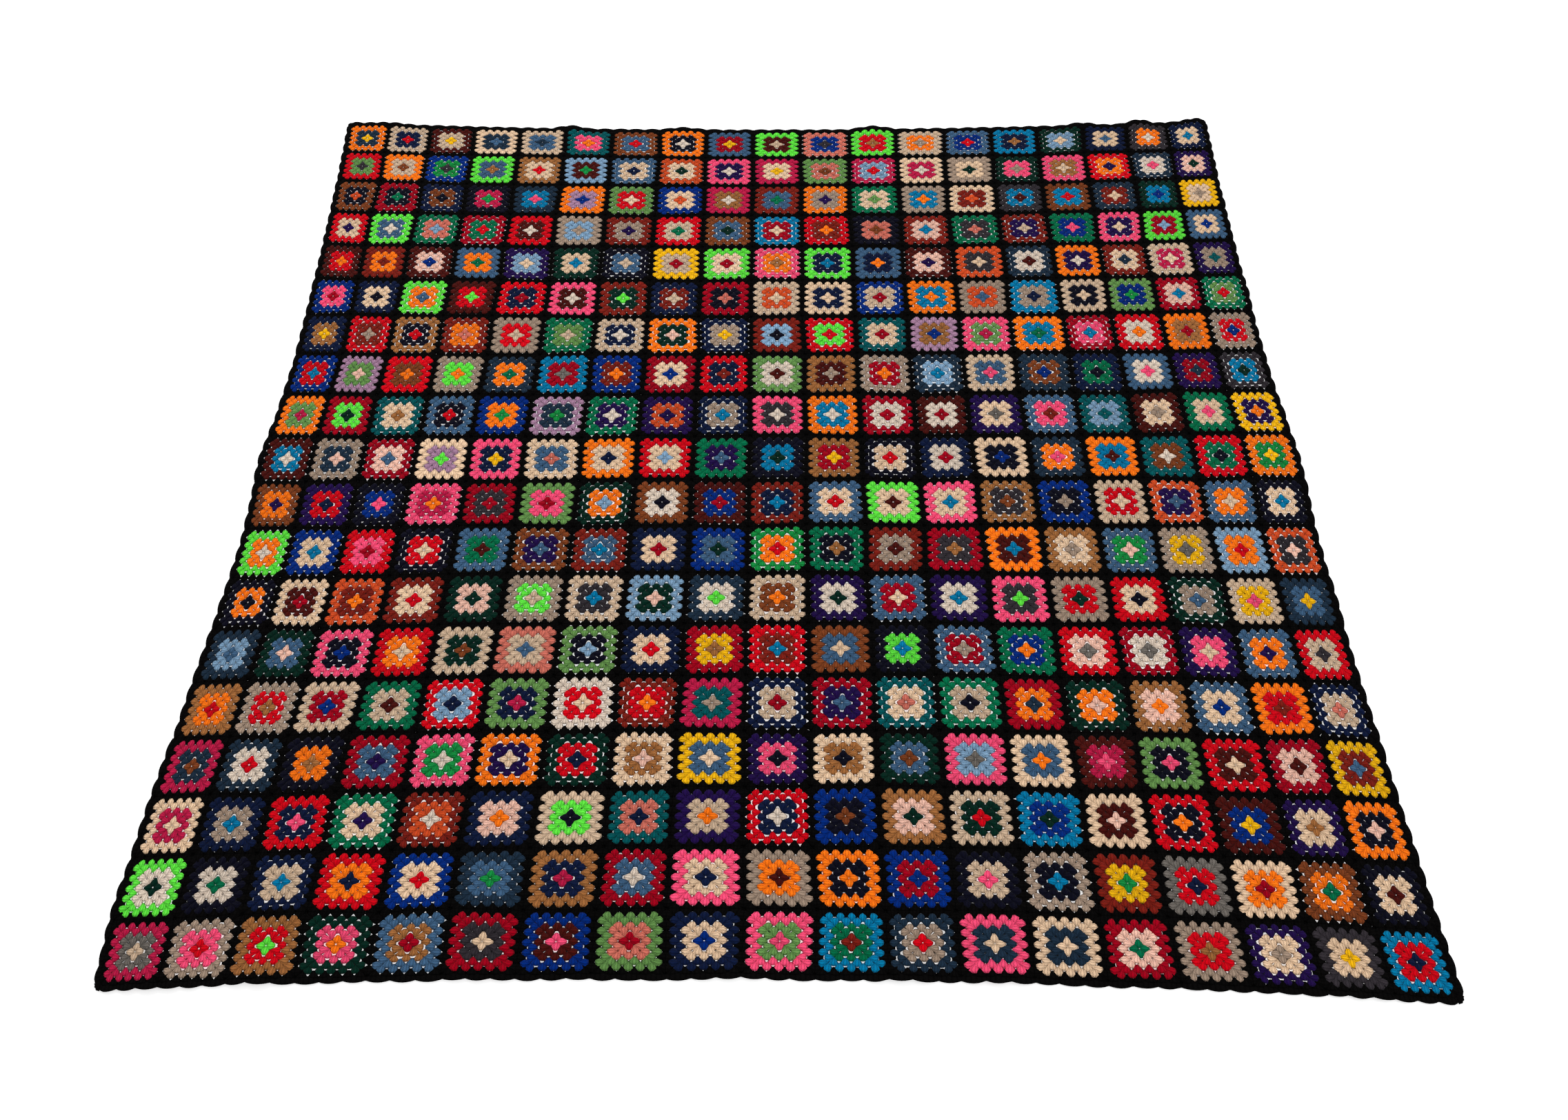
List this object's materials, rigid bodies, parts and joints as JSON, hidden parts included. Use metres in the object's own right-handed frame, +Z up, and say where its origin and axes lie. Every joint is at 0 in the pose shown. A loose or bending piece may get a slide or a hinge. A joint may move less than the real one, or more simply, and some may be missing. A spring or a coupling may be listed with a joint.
{
  "type": "granny square blanket",
  "caption": "Large square crochet blanket of joined multicoloured granny squares with black outer rounds and a black scalloped edging, lying flat.",
  "frame": {"origin": "centre of the blanket's outline, on its underside", "axes": "+Z up, square to the laid cloth; +X to the right along the near edge, +Y from the near edge to the far edge of the picture"},
  "size_m": [1.9554, 1.9624, 0.0139],
  "materials": {
    "square_yarns": "soft matte wool-type yarn in many colours, crocheted in clusters of three stitches",
    "black_yarn": "soft matte black wool-type yarn, crocheted in shells"
  },
  "bodies": {
    "root": {"patchwork": "square_yarns", "shell_edging": "black_yarn"}
  },
  "joints": []
}
